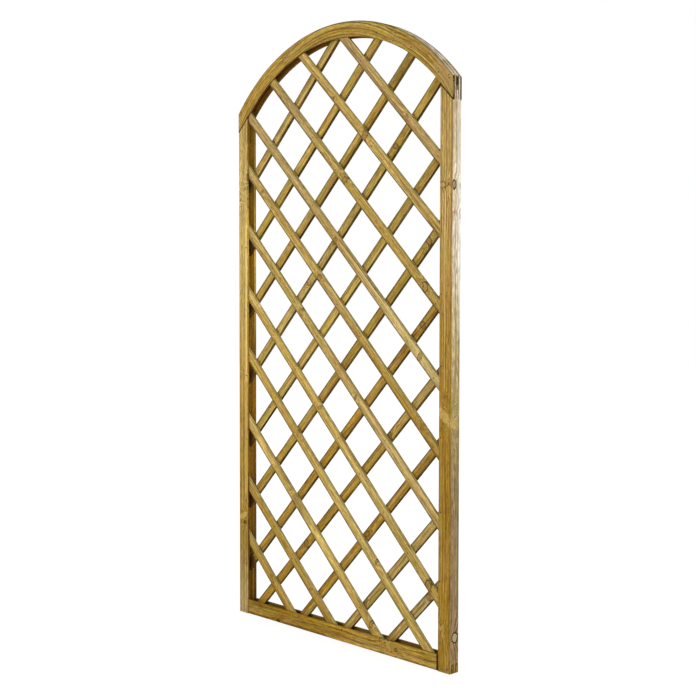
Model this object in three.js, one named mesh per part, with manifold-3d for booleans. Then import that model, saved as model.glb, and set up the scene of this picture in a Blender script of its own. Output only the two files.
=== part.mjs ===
// Bow-top trellis fence panel in treated softwood: two grooved stiles, a grooved foot
// rail, a grooved arch in three finger-jointed lengths, and two layers of crossed laths.
// Millimetres, Z up, X across the panel, -Y the front. The origin is the middle of the foot.

import * as THREE from "three";
import { mergeVertices } from "three/addons/utils/BufferGeometryUtils.js";
import Module from "manifold-3d";

const wasm = await Module();
wasm.setup();

// Panel
const panelWidth = 900;
const shoulderHeight = 1592;
const archRise = 208;
const frameDepth = 36;

// Frame members, as seen from the front
const stileFace = 45;
const railFace = 45;
const archFace = 45;
const arrisRadius = 4;
const clearance = 0.3;

// Groove that holds the laths
const grooveDepth = 17.5;
const lathEndGap = 1.5;

// Laths: the front layer falls to the right, the rear layer falls to the left
const lathWidth = 26;
const lathThickness = 10.5;
const lathArris = 1;
const lathSetback = 5;
const lathSpacing = 195;
const lathAngle = THREE.MathUtils.degToRad(45);
const firstLathHeight = 225;
const shortestClearRun = 200;

// The laths were laid by eye: each end strays by a share of the spacing, from the foot up
const frontHighDriftShares = [0.07, -0.05, -0.02, 0.07, 0.05, 0.07, 0.03, -0.07, -0.02, -0.02, 0.07];
const frontLowDriftShares = [0.12, 0.1, 0.02, 0.01, -0.04, 0.03, 0, -0.04, 0.02, 0.06, 0.04];
const rearHighDriftShares = [0.06, 0.02, 0.05, 0.03, 0.02, 0.06, 0.03, 0.11, 0.04, 0.02, 0.04];
const rearLowDriftShares = [0.01, -0.1, -0.11, -0.01, -0.14, -0.1, -0.09, -0.05, 0.02, 0.02, 0.05];

// Comb joints at the corners: where the saw cuts lie across the depth, front to back
const combLineShares = [0.2, 0.4, 0.65, 0.86];
const tongueShoulder = 3.5;
const shoulderAngle = THREE.MathUtils.degToRad(45);

// Finger joints of the arch
const fingerJointAngle = THREE.MathUtils.degToRad(24);
const fingerPitch = 7.5;
const fingerLength = 14;
const fingerTipShare = 0.12;

// Nails through the corner joints
const nailLength = 30;
const nailPoint = 3;
const nailShankRadius = 1.1;
const nailHeadRadius = 1.7;
const nailHeadThickness = 1;
const nailSinking = 0.3;
const headNailInsetShare = 0.3;
const headNailDropShares = [0.32, 0.5];
const footNailInsetShares = [0.26, 0.61];
const footNailHeightShares = [0.44, 0.35];

// How finely round shapes are cut into flats, and how far a cutting body runs past its work
const arcStep = THREE.MathUtils.degToRad(1.5);
const arrisSegments = 3;
const nailSegments = 10;
const overrun = 30;

// Worked out from the sizes above
const panelHeight = shoulderHeight + archRise;
const halfWidth = panelWidth / 2;
const innerHalf = halfWidth - stileFace;
const outerRadius = (halfWidth ** 2 + archRise ** 2) / (2 * archRise);
const innerRadius = outerRadius - archFace;
const arcCentreHeight = panelHeight - outerRadius;
const cornerHeight = arcCentreHeight + Math.sqrt(innerRadius ** 2 - innerHalf ** 2);
const front = -frameDepth / 2;
const back = frameDepth / 2;
const combLines = combLineShares.map((share) => front + share * frameDepth);
const lathReach = grooveDepth - lathEndGap;
const frontLathMiddle = front + lathSetback + lathThickness / 2;
const rearLathMiddle = frontLathMiddle + lathThickness + clearance;
const grooveFront = frontLathMiddle - lathThickness / 2 - clearance;
const grooveBack = rearLathMiddle + lathThickness / 2 + clearance;
const tongueHeight = railFace - grooveDepth - tongueShoulder;

// Treated softwood, paler on the front laths, and bright wire nails
function timber(color) {
  return new THREE.MeshStandardMaterial({ color, roughness: 0.8, metalness: 0 });
}
const stileTimber = timber(0xbd9a5a);
const archTimber = timber(0xad8c44);
const frontLathTimber = timber(0xc6a870);
const rearLathTimber = timber(0xa8802f);
const nailSteel = new THREE.MeshStandardMaterial({ color: 0x5e5a52, roughness: 0.5, metalness: 0.9 });

// A closed geometry as a solid that can be joined and cut
function solidFrom(geometry) {
  const bare = geometry.clone();
  bare.deleteAttribute("normal");
  bare.deleteAttribute("uv");
  const merged = mergeVertices(bare);
  return new wasm.Manifold(
    new wasm.Mesh({
      numProp: 3,
      vertProperties: merged.attributes.position.array,
      triVerts: new Uint32Array(merged.index.array),
    }),
  );
}

// A cut solid as a named mesh with flat facets
function meshFrom(name, solid, material) {
  const cut = solid.getMesh();
  const shared = new THREE.BufferGeometry();
  shared.setAttribute("position", new THREE.BufferAttribute(cut.vertProperties, cut.numProp));
  shared.setIndex(new THREE.BufferAttribute(cut.triVerts, 1));
  const geometry = shared.toNonIndexed();
  geometry.computeVertexNormals();
  const mesh = new THREE.Mesh(geometry, material);
  mesh.name = name;
  return mesh;
}

// An outline drawn in X and Z, carried through the panel from one depth to another
function slab(outline, [frontY, backY], curveSegments = 1) {
  const geometry = new THREE.ExtrudeGeometry(outline, {
    depth: backY - frontY,
    bevelEnabled: false,
    curveSegments,
  });
  geometry.rotateX(Math.PI / 2);
  geometry.translate(0, backY, 0);
  return geometry;
}

function polygon(points) {
  return new THREE.Shape(points.map(([x, z]) => new THREE.Vector2(x, z)));
}

function rectangle(left, right, foot, head) {
  return polygon([
    [left, foot],
    [right, foot],
    [right, head],
    [left, head],
  ]);
}

// Cross-section with rounded arrises, centred on zero
function section(width, height, radius) {
  const x = width / 2 - radius;
  const y = height / 2 - radius;
  const shape = new THREE.Shape();
  shape.absarc(x, y, radius, 0, Math.PI / 2, false);
  shape.absarc(-x, y, radius, Math.PI / 2, Math.PI, false);
  shape.absarc(-x, -y, radius, Math.PI, Math.PI * 1.5, false);
  shape.absarc(x, -y, radius, Math.PI * 1.5, Math.PI * 2, false);
  shape.closePath();
  return shape;
}

// Planed bar lying along X, centred on zero
function bar(height, depth, radius, length) {
  const geometry = new THREE.ExtrudeGeometry(section(height, depth, radius), {
    depth: length,
    bevelEnabled: false,
    curveSegments: arrisSegments,
  });
  geometry.translate(0, 0, -length / 2);
  geometry.rotateY(Math.PI / 2);
  return geometry;
}

// Straight sides and foot under a round head
function archedSlab(side, foot, radius, depths) {
  const spring = Math.acos(side / radius);
  const outline = new THREE.Shape();
  outline.moveTo(-side, foot);
  outline.lineTo(side, foot);
  outline.absarc(0, arcCentreHeight, radius, spring, Math.PI - spring, false);
  outline.closePath();
  return slab(outline, depths, Math.ceil((Math.PI - 2 * spring) / arcStep));
}

// The opening inside the frame, widened on every side into the frame
function openingSlab(reach, depths) {
  return archedSlab(innerHalf + reach, railFace - reach, innerRadius + reach, depths);
}

// Comb joints: slots for the tongues, and what lies in front of, between and behind them
const throughDepths = [front - overrun, back + overrun];
const tongueDepths = [
  [combLines[0], combLines[1]],
  [combLines[2], combLines[3]],
];
const frontCheekDepths = [front - overrun, combLines[0]];
const fingerDepths = [combLines[1], combLines[2]];
const backCheekDepths = [combLines[3], back + overrun];

function widened([frontY, backY]) {
  return [frontY - clearance, backY + clearance];
}

// Raise of a line that slopes as the corner's shoulder does and lies a distance above it
function raiseFor(distance) {
  return distance / Math.cos(shoulderAngle);
}

// The part of a top corner above or below its sloping shoulder, from a side line outwards
function shoulderCut(side, from, raise, limit, depths) {
  const far = halfWidth + overrun;
  const line = (x) => cornerHeight + raise - (x - innerHalf) * Math.tan(shoulderAngle);
  const outline = polygon([
    [side * from, line(from)],
    [side * far, line(far)],
    [side * far, limit],
    [side * from, limit],
  ]);
  return solidFrom(slab(outline, depths));
}

// Nail driven in from the front: head, shank and point, or its hole
function nailProfile(room, start) {
  const head = front + nailSinking;
  const tip = head + nailLength + room;
  return [
    new THREE.Vector2(0, start),
    new THREE.Vector2(nailHeadRadius + room, start),
    new THREE.Vector2(nailHeadRadius + room, head + nailHeadThickness + room),
    new THREE.Vector2(nailShankRadius + room, head + nailHeadThickness + room),
    new THREE.Vector2(nailShankRadius + room, tip - nailPoint),
    new THREE.Vector2(0, tip),
  ];
}

// Places of the nails: two at each corner, the same on both sides
const nailPlaces = [];
for (const side of [-1, 1]) {
  const hand = side < 0 ? "left" : "right";
  headNailDropShares.forEach((share, i) => {
    const x = halfWidth - headNailInsetShare * stileFace;
    const edge = arcCentreHeight + Math.sqrt(outerRadius ** 2 - x ** 2);
    const name = `nail_top_${hand}_${i ? "lower" : "upper"}`;
    nailPlaces.push({ name, x: side * x, z: edge - share * archFace });
  });
  footNailInsetShares.forEach((share, i) => {
    const x = halfWidth - share * stileFace;
    const name = `nail_foot_${hand}_${i ? "inner" : "outer"}`;
    nailPlaces.push({ name, x: side * x, z: footNailHeightShares[i] * tongueHeight });
  });
}

// Cuts the groove and the nail holes that a frame member shares with its neighbours
const groove = solidFrom(openingSlab(grooveDepth, [grooveFront, grooveBack]));
function grooved(solid) {
  let cut = solid.subtract(groove);
  for (const { x, z } of nailPlaces) {
    const hole = new THREE.LatheGeometry(nailProfile(clearance, front - overrun), nailSegments);
    hole.translate(x, 0, z);
    cut = cut.subtract(solidFrom(hole));
  }
  return cut;
}

// Stile: its head carries two tongues for the arch, its foot is slotted for the rail
function stile(side) {
  const blank = bar(stileFace, frameDepth, arrisRadius, panelHeight);
  blank.rotateY(Math.PI / 2);
  blank.translate(side * (halfWidth - stileFace / 2), 0, panelHeight / 2);
  const envelope = archedSlab(halfWidth + clearance, -overrun, outerRadius, throughDepths);
  const top = panelHeight + overrun;
  const gap = -raiseFor(clearance);
  const fingerGap = raiseFor(grooveDepth - clearance);
  let body = solidFrom(blank).intersect(solidFrom(envelope));
  body = body.subtract(shoulderCut(side, innerHalf - overrun, gap, top, frontCheekDepths));
  body = body.subtract(shoulderCut(side, innerHalf - overrun, gap, top, backCheekDepths));
  body = body.subtract(shoulderCut(side, innerHalf - overrun, fingerGap, top, fingerDepths));
  for (const depths of tongueDepths) {
    const left = side * halfWidth - stileFace - overrun;
    const right = side * halfWidth + stileFace + overrun;
    const slot = rectangle(left, right, -overrun, tongueHeight + clearance);
    body = body.subtract(solidFrom(slab(slot, widened(depths))));
  }
  return grooved(body);
}

// Foot rail: its ends are cut down to two tongues that reach the outer sides
function rail() {
  const blank = bar(railFace, frameDepth, arrisRadius, panelWidth);
  blank.translate(0, 0, railFace / 2);
  let body = solidFrom(blank);
  for (const side of [-1, 1]) {
    const shoulder = side * (innerHalf - clearance);
    const far = side * (halfWidth + overrun);
    const left = Math.min(shoulder, far);
    const right = Math.max(shoulder, far);
    const waste = rectangle(left, right, -overrun, railFace + overrun);
    for (const depths of [frontCheekDepths, fingerDepths, backCheekDepths]) {
      body = body.subtract(solidFrom(slab(waste, depths)));
    }
    const top = rectangle(left, right, tongueHeight, railFace + overrun);
    body = body.subtract(solidFrom(slab(top, throughDepths)));
  }
  return grooved(body);
}

// Whole arch: a ring with rounded arrises, cut off at the sides, slotted for the tongues
function arch() {
  const ringMiddle = outerRadius - archFace / 2;
  const profile = section(archFace, frameDepth, arrisRadius).getPoints(arrisSegments);
  profile.push(profile[0].clone());
  const placed = profile.map((point) => new THREE.Vector2(point.x + ringMiddle, point.y));
  const ring = new THREE.LatheGeometry(placed, Math.ceil((2 * Math.PI) / arcStep));
  ring.translate(0, 0, arcCentreHeight);
  const span = rectangle(-halfWidth, halfWidth, arcCentreHeight, panelHeight + overrun);
  let body = solidFrom(ring).intersect(solidFrom(slab(span, throughDepths)));
  for (const side of [-1, 1]) {
    const fingerRaise = raiseFor(grooveDepth);
    body = body.subtract(shoulderCut(side, innerHalf, 0, arcCentreHeight, throughDepths));
    body = body.subtract(shoulderCut(side, innerHalf, fingerRaise, arcCentreHeight, fingerDepths));
    const shoulder = side * (innerHalf - clearance);
    const far = side * (halfWidth + overrun);
    const left = Math.min(shoulder, far);
    const right = Math.max(shoulder, far);
    const slot = rectangle(left, right, arcCentreHeight, panelHeight);
    for (const depths of tongueDepths) {
      body = body.subtract(solidFrom(slab(slot, widened(depths))));
    }
  }
  return grooved(body);
}

// All that lies on one side of a finger joint: reach is +1 beyond it, -1 before it, seen
// from the crown, and the other member's fingers keep the clearance along their flanks
function fingerCut(side, reach) {
  const count = Math.round(archFace / fingerPitch);
  const pitch = archFace / count;
  const tip = fingerTipShare * pitch;
  const rise = pitch / 2 - tip;
  const gap = (clearance * Math.hypot(rise, fingerLength)) / rise;
  const high = (fingerLength - reach * gap) / 2;
  const low = (-fingerLength - reach * gap) / 2;
  const far = reach * (outerRadius + overrun);
  const line = [[0, high]];
  for (let i = 0; i <= count; i++) {
    const radius = innerRadius + i * pitch;
    line.push([radius - tip / 2, high]);
    line.push([radius + tip / 2, high]);
    if (i < count) line.push([radius + pitch / 2 - tip / 2, low], [radius + pitch / 2 + tip / 2, low]);
  }
  line.push([outerRadius + overrun, high]);
  line.push([outerRadius + overrun, far]);
  line.push([0, far]);
  const cos = Math.cos(fingerJointAngle);
  const sin = Math.sin(fingerJointAngle);
  const placed = line.map(([radius, along]) => [
    side * (radius * sin + along * cos),
    arcCentreHeight + radius * cos - along * sin,
  ]);
  return solidFrom(slab(polygon(placed), throughDepths));
}

// Where a lath's centre line lies inside the opening widened by reach, or null outside it
function runInside(leftHeight, rightHeight, reach) {
  const slope = (rightHeight - leftHeight) / (2 * innerHalf);
  const middle = (leftHeight + rightHeight) / 2;
  const radius = innerRadius + reach;
  const offset = middle - arcCentreHeight;
  const footX = (railFace - reach - middle) / slope;
  const a = 1 + slope ** 2;
  const inside = a * radius ** 2 - offset ** 2;
  let from = -innerHalf - reach;
  let to = innerHalf + reach;
  if (slope < 0) to = Math.min(to, footX);
  else from = Math.max(from, footX);
  if (inside > 0) {
    const leftX = (-slope * offset - Math.sqrt(inside)) / a;
    const rightX = (-slope * offset + Math.sqrt(inside)) / a;
    if (offset + slope * leftX > 0) from = Math.max(from, leftX);
    if (offset + slope * rightX > 0) to = Math.min(to, rightX);
  } else if (offset > 0) {
    return null;
  }
  if (to <= from) return null;
  return { from, to, slope, middle, length: (to - from) * Math.hypot(1, slope) };
}

// Lath of one layer: its ends are cut to the shape of the groove's bottom
function lath(name, leftHeight, rightHeight, layerMiddle, material) {
  const run = runInside(leftHeight, rightHeight, lathReach);
  const place = new THREE.Object3D();
  const centre = (run.from + run.to) / 2;
  place.position.set(centre, layerMiddle, run.middle + run.slope * centre);
  place.rotation.y = -Math.atan(run.slope);
  place.updateMatrix();
  const blank = solidFrom(bar(lathWidth, lathThickness, lathArris, run.length + 2 * lathWidth));
  const end = openingSlab(lathReach, throughDepths).applyMatrix4(place.matrix.clone().invert());
  const mesh = meshFrom(name, blank.intersect(solidFrom(end)), material);
  mesh.position.copy(place.position);
  mesh.rotation.copy(place.rotation);
  return mesh;
}

// One layer of laths, from the foot up: side is -1 where the high ends are on the left
function layer(side, name, highDriftShares, lowDriftShares, layerMiddle, material) {
  const laths = new THREE.Group();
  const fall = 2 * innerHalf * Math.tan(lathAngle);
  for (let k = 0; firstLathHeight + k * lathSpacing - fall < panelHeight; k++) {
    const highDrift = highDriftShares[k % highDriftShares.length];
    const lowDrift = lowDriftShares[k % lowDriftShares.length];
    const high = firstLathHeight + (k + highDrift) * lathSpacing;
    const low = firstLathHeight + (k + lowDrift) * lathSpacing - fall;
    const ends = side < 0 ? [high, low] : [low, high];
    const clear = runInside(...ends, 0);
    if (!clear || clear.length < shortestClearRun) continue;
    const number = String(laths.children.length + 1).padStart(2, "0");
    laths.add(lath(`${name}_${number}`, ...ends, layerMiddle, material));
  }
  return laths;
}

const panel = new THREE.Group();

const frame = new THREE.Group();
frame.add(meshFrom("stile_left", stile(-1), stileTimber));
frame.add(meshFrom("stile_right", stile(1), stileTimber));
frame.add(meshFrom("foot_rail", rail(), archTimber));
const wholeArch = arch();
const crown = wholeArch.subtract(fingerCut(-1, 1)).subtract(fingerCut(1, 1));
frame.add(meshFrom("arch_left", wholeArch.subtract(fingerCut(-1, -1)), archTimber));
frame.add(meshFrom("arch_crown", crown, archTimber));
frame.add(meshFrom("arch_right", wholeArch.subtract(fingerCut(1, -1)), archTimber));
panel.add(frame);

const nails = new THREE.Group();
for (const { name, x, z } of nailPlaces) {
  const profile = nailProfile(0, front + nailSinking);
  const nail = new THREE.Mesh(new THREE.LatheGeometry(profile, nailSegments), nailSteel);
  nail.name = name;
  nail.position.set(x, 0, z);
  nails.add(nail);
}
panel.add(nails);

panel.add(
  layer(-1, "front_lath", frontHighDriftShares, frontLowDriftShares, frontLathMiddle, frontLathTimber),
);
panel.add(
  layer(1, "rear_lath", rearHighDriftShares, rearLowDriftShares, rearLathMiddle, rearLathTimber),
);

export default panel;
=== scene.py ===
import math
import random

import bpy
from mathutils import Matrix, Vector


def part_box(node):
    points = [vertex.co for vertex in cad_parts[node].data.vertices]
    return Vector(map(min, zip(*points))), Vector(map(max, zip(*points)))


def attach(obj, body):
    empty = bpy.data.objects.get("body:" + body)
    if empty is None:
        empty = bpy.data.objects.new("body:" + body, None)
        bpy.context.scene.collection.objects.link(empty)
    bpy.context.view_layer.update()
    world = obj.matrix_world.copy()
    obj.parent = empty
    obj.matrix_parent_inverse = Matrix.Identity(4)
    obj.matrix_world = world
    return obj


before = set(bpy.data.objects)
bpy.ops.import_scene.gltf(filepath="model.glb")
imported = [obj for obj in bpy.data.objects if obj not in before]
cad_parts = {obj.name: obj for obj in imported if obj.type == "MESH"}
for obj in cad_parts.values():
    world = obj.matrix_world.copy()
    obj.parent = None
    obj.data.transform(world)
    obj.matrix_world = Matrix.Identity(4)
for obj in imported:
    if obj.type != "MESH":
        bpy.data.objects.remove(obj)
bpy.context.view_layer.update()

# The stiles
# Two uprights of pressure-treated softwood, planed square with eased arrises, grooved on
# the inner side and combed at the head for the arch. Each is its own board, so they differ.


def srgb(red, green, blue):
    """A colour as a screen shows it, from 0 to 255, as a linear colour."""
    channels = []
    for value in (red, green, blue):
        share = min(max(value / 255, 0), 1)
        channels.append(share / 12.92 if share <= 0.04045 else ((share + 0.055) / 1.055) ** 2.4)
    return (*channels, 1)


def plug(tree, value, socket):
    """Feed a socket from another socket, or set its plain value."""
    if isinstance(value, bpy.types.NodeSocket):
        tree.links.new(value, socket)
    else:
        socket.default_value = value


def calc(tree, operation, *values):
    node = tree.nodes.new("ShaderNodeMath")
    node.operation = operation
    for value, socket in zip(values, node.inputs):
        plug(tree, value, socket)
    return node.outputs[0]


def fold(tree, operation, *values):
    """One sum, product or largest value of any number of values."""
    result = values[0]
    for value in values[1:]:
        result = calc(tree, operation, result, value)
    return result


def total(tree, *values):
    return fold(tree, "ADD", *values)


def product(tree, *values):
    return fold(tree, "MULTIPLY", *values)


def largest(tree, *values):
    return fold(tree, "MAXIMUM", *values)


def distance(tree, *legs):
    """How far off a place is, from how far off it is along each axis."""
    return calc(tree, "SQRT", total(tree, *[product(tree, leg, leg) for leg in legs]))


def less(tree, first, second):
    return calc(tree, "SUBTRACT", first, second)


def vector_calc(tree, operation, first, second):
    node = tree.nodes.new("ShaderNodeVectorMath")
    node.operation = operation
    plug(tree, first, node.inputs[0])
    plug(tree, second, node.inputs[1])
    return node.outputs


def stretch(tree, vector, scales):
    """A vector with each of its axes scaled on its own."""
    return vector_calc(tree, "MULTIPLY", vector, scales)["Vector"]


def coordinates(tree, kind="Object"):
    return tree.nodes.new("ShaderNodeTexCoord").outputs[kind]


def split(tree, vector):
    node = tree.nodes.new("ShaderNodeSeparateXYZ")
    plug(tree, vector, node.inputs[0])
    return node.outputs


def join(tree, *values):
    node = tree.nodes.new("ShaderNodeCombineXYZ")
    for value, socket in zip(values, node.inputs):
        plug(tree, value, socket)
    return node.outputs[0]


def noise(tree, place, scales, seed, detail=3, roughness=0.6):
    """Noise from 0 to 1, with a scale of its own for each axis of the place."""
    node = tree.nodes.new("ShaderNodeTexNoise")
    node.noise_dimensions = "4D"
    node.inputs["Scale"].default_value = 1
    node.inputs["Detail"].default_value = detail
    node.inputs["Roughness"].default_value = roughness
    plug(tree, stretch(tree, place, scales), node.inputs["Vector"])
    plug(tree, seed, node.inputs["W"])
    return node.outputs["Fac"]


def ramp(tree, value, low, high, to_low=0.0, to_high=1.0, smooth=True):
    node = tree.nodes.new("ShaderNodeMapRange")
    node.interpolation_type = "SMOOTHSTEP" if smooth else "LINEAR"
    names = ("Value", "From Min", "From Max", "To Min", "To Max")
    for item, name in zip((value, low, high, to_low, to_high), names):
        plug(tree, item, node.inputs[name])
    return node.outputs["Result"]


def blend(tree, factor, first, second, way="MIX"):
    node = tree.nodes.new("ShaderNodeMix")
    node.data_type = "RGBA"
    node.blend_type = way
    plug(tree, factor, node.inputs[0])
    plug(tree, first, node.inputs[6])
    plug(tree, second, node.inputs[7])
    return node.outputs[2]


def shaded(tree, colour, level):
    """A colour made lighter or darker by a level that varies over the surface."""
    node = tree.nodes.new("ShaderNodeCombineColor")
    for socket in node.inputs[:3]:
        plug(tree, level, socket)
    return blend(tree, 1.0, colour, node.outputs[0], "MULTIPLY")


def either(tree, on_side, for_face, for_side):
    """One value for the faces of a board and another for its narrow sides."""
    on_face = less(tree, 1.0, on_side)
    return total(tree, product(tree, for_face, on_face), product(tree, for_side, on_side))


def add_end(tree, name, way, kind):
    """A named end of a node group: its way is INPUT or OUTPUT."""
    return tree.interface.new_socket(name=name, in_out=way, socket_type="NodeSocket" + kind)


def shader_group(name, kind, outputs, **inputs):
    """A new shader node group, and the sockets of both ends inside it. _ stands for a space."""
    group = bpy.data.node_groups.new(name, "ShaderNodeTree")
    for label, value in inputs.items():
        input_kind = "Vector" if value is None else "Color" if isinstance(value, tuple) else "Float"
        socket = add_end(group, label.replace("_", " "), "INPUT", input_kind)
        if value is not None:
            socket.default_value = value
    for label in outputs:
        add_end(group, label, "OUTPUT", kind)
    return group, group.nodes.new("NodeGroupInput").outputs, group.nodes.new("NodeGroupOutput").inputs


def use_group(tree, group, **values):
    """Place a node group and feed its inputs."""
    node = tree.nodes.new("ShaderNodeGroup")
    node.node_tree = group
    for name, value in values.items():
        plug(tree, value, node.inputs[name.replace("_", " ")])
    return node.outputs


# What a saw lays open in a log: shells of pale and dark wood round a heart that wanders.
# Lengths are in millimetres, X along the board, Y through it and Z across its face.
log_group, inside, out = shader_group(
    "Sawn log", "Float", ("Late Wood", "Band", "Streak", "Fibre", "Cloud", "Pitch"),
    Grain=None, Seed=0.0, Heart_Depth=60.0, Heart_Across=10.0, Ring_Width=4.0, Wander=12.0,
    Ripple=6.0, Bulge=0.0,
)
tree = log_group
grain = inside["Grain"]
seed = inside["Seed"]
along, deep, across = split(tree, grain)
spans = []
for axis, heart, start in ((deep, "Heart Depth", 0.0), (across, "Heart Across", 31.7)):
    drift = noise(tree, grain, (0.0026, 0.004, 0.004), total(tree, seed, start), 1, 0.5)
    sway = product(tree, less(tree, drift, 0.5), inside["Wander"], 2.0)
    spans.append(total(tree, less(tree, axis, inside[heart]), sway))
ripple = noise(tree, grain, (0.011, 0.05, 0.05), total(tree, seed, 11.3), 3, 0.55)
ripple = product(tree, ripple, inside["Ripple"])
radius = total(tree, distance(tree, *spans), ripple)
radius = less(tree, radius, inside["Bulge"])
count = calc(tree, "DIVIDE", radius, inside["Ring Width"])
phase = calc(tree, "FRACT", count)
strength = tree.nodes.new("ShaderNodeTexWhiteNoise")
strength.noise_dimensions = "3D"
plug(tree, join(tree, calc(tree, "FLOOR", count), seed, 0.0), strength.inputs["Vector"])
late = product(
    tree,
    calc(tree, "POWER", ramp(tree, phase, 0.2, 0.9), 1.5),
    ramp(tree, phase, 0.92, 1.0, 1, 0),
    ramp(tree, strength.outputs["Value"], 0, 1, 0.25, 1, False),
)
plug(tree, late, out["Late Wood"])
shells = join(tree, along, radius, across)
for label, scales, start, detail, roughness in (
    ("Band", (0.0011, 0.11, 0.03), 3.9, 3, 0.6),
    ("Streak", (0.0045, 0.26, 0.1), 19.3, 3, 0.65),
    ("Fibre", (0.045, 0.26, 0.3), 5.1, 4, 0.7),
):
    drawn_out = noise(tree, shells, scales, total(tree, seed, start), detail, roughness)
    plug(tree, drawn_out, out[label])
cloud = noise(tree, grain, (0.007, 0.03, 0.03), total(tree, seed, 77.0))
plug(tree, cloud, out["Cloud"])
pitch = tree.nodes.new("ShaderNodeTexVoronoi")
pitch.voronoi_dimensions = "4D"
pitch.inputs["Scale"].default_value = 1
pitch.inputs["Randomness"].default_value = 1
plug(tree, stretch(tree, grain, (0.022, 0.13, 0.13)), pitch.inputs["Vector"])
plug(tree, seed, pitch.inputs["W"])
speck = ramp(tree, pitch.outputs["Distance"], 0.09, 0.2, 1, 0)
chosen = ramp(tree, split(tree, pitch.outputs["Color"])[0], 0.7, 0.8)
plug(tree, product(tree, speck, chosen), out["Pitch"])

# A knot: a branch that runs through the board, across its face or across its side. Lean
# slides it along the board as it goes across, and Spread draws it out across the board.
knot_group, inside, out = shader_group(
    "Knot", "Float", ("Bulge", "Body", "Rim", "Rings"),
    Grain=None, Centre=None, Radius=8.0, Spread=1.0, Lean=0.0, On_Side=0.0, Uneven=1.0,
)
tree = knot_group
offset = vector_calc(tree, "SUBTRACT", inside["Grain"], inside["Centre"])["Vector"]
along, deep, across = split(tree, offset)
sideways = either(tree, inside["On Side"], across, deep)
inward = either(tree, inside["On Side"], deep, across)
longways = less(tree, along, product(tree, sideways, inside["Lean"]))
sideways = calc(tree, "DIVIDE", sideways, inside["Spread"])
reach = distance(tree, longways, sideways)
uneven = noise(tree, inside["Grain"], (0.09, 0.09, 0.14), 3.3, 3, 0.5)
wobble = ramp(tree, uneven, 0.3, 0.7, -0.4, 0.4, False)
wobble = total(tree, product(tree, wobble, inside["Uneven"]), 1.0)
share = calc(tree, "DIVIDE", product(tree, reach, wobble), inside["Radius"])
depth_share = calc(tree, "DIVIDE", calc(tree, "ABSOLUTE", inward), product(tree, inside["Radius"], 2.2))
fade = ramp(tree, depth_share, 0.6, 1.0, 1, 0)
swell = product(tree, calc(tree, "EXPONENT", product(tree, share, share, -0.16)), fade)
plug(tree, product(tree, swell, inside["Radius"], 1.1), out["Bulge"])
plug(tree, product(tree, ramp(tree, share, 0.85, 1.1, 1, 0), fade), out["Body"])
rim = product(tree, ramp(tree, share, 0.68, 0.92), ramp(tree, share, 1.0, 1.3, 1, 0), fade)
plug(tree, rim, out["Rim"])
rings = ramp(tree, calc(tree, "SINE", product(tree, share, 16.0)), 0.2, 0.9)
plug(tree, product(tree, rings, ramp(tree, share, 0.8, 0.95, 1, 0), fade), out["Rings"])

# Where a rectangular section has its arrises, where it shows its two narrow sides, high and
# low, and where the surface lies inside the section, in a groove or a joint.
section_group, inside, out = shader_group(
    "Section", "Float", ("Arris", "Side", "High", "Inside"),
    Place=None, Half_Depth=18.0, Half_Width=22.5, Reach=4.0, Seed=0.0,
)
tree = section_group
along, deep, across = split(tree, inside["Place"])
to_face = less(tree, inside["Half Depth"], calc(tree, "ABSOLUTE", deep))
to_side = less(tree, inside["Half Width"], calc(tree, "ABSOLUTE", across))
uneven = noise(tree, inside["Place"], (0.02, 0.08, 0.08), inside["Seed"])
reach = product(tree, inside["Reach"], ramp(tree, uneven, 0.25, 0.75, 0.6, 1.4, False))
near = calc(tree, "DIVIDE", largest(tree, to_face, to_side), reach)
plug(tree, ramp(tree, near, 0.5, 1.0, 1, 0), out["Arris"])
plug(tree, ramp(tree, less(tree, to_side, to_face), -1.0, 1.0, 1, 0), out["Side"])
plug(tree, ramp(tree, across, -0.5, 0.5), out["High"])
plug(tree, ramp(tree, calc(tree, "MINIMUM", to_face, to_side), 1.3, 2.3), out["Inside"])
# One streak in the wood, pale or dark, from one place along the board to another. Slope lets
# it run out across the face, or across the narrow sides if it is On Side.
streak_group, inside, out = shader_group(
    "Streak", "Float", ("Mask",),
    Place=None, Side=0.0, On_Side=0.0, Start=-100.0, End=100.0, Across=0.0, Slope=0.0, Half_Width=2.0,
)
tree = streak_group
along, deep, across = split(tree, inside["Place"])
where = either(tree, inside["On Side"], across, deep)
drift = product(tree, inside["Slope"], less(tree, along, inside["Start"]))
ragged = noise(tree, inside["Place"], (0.02, 0.3, 0.3), 8.0, 3, 0.65)
width = product(tree, inside["Half Width"], ramp(tree, ragged, 0.35, 0.65, 0.4, 1.5, False))
off = less(tree, where, total(tree, inside["Across"], drift))
off = calc(tree, "DIVIDE", calc(tree, "ABSOLUTE", off), width)
opening = ramp(tree, less(tree, along, inside["Start"]), -6, 12)
closing = ramp(tree, less(tree, inside["End"], along), -6, 12)
facing = either(tree, inside["On Side"], less(tree, 1.0, inside["Side"]), inside["Side"])
plug(tree, product(tree, ramp(tree, off, 0.5, 1.0, 1, 0), opening, closing, facing), out["Mask"])
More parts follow.
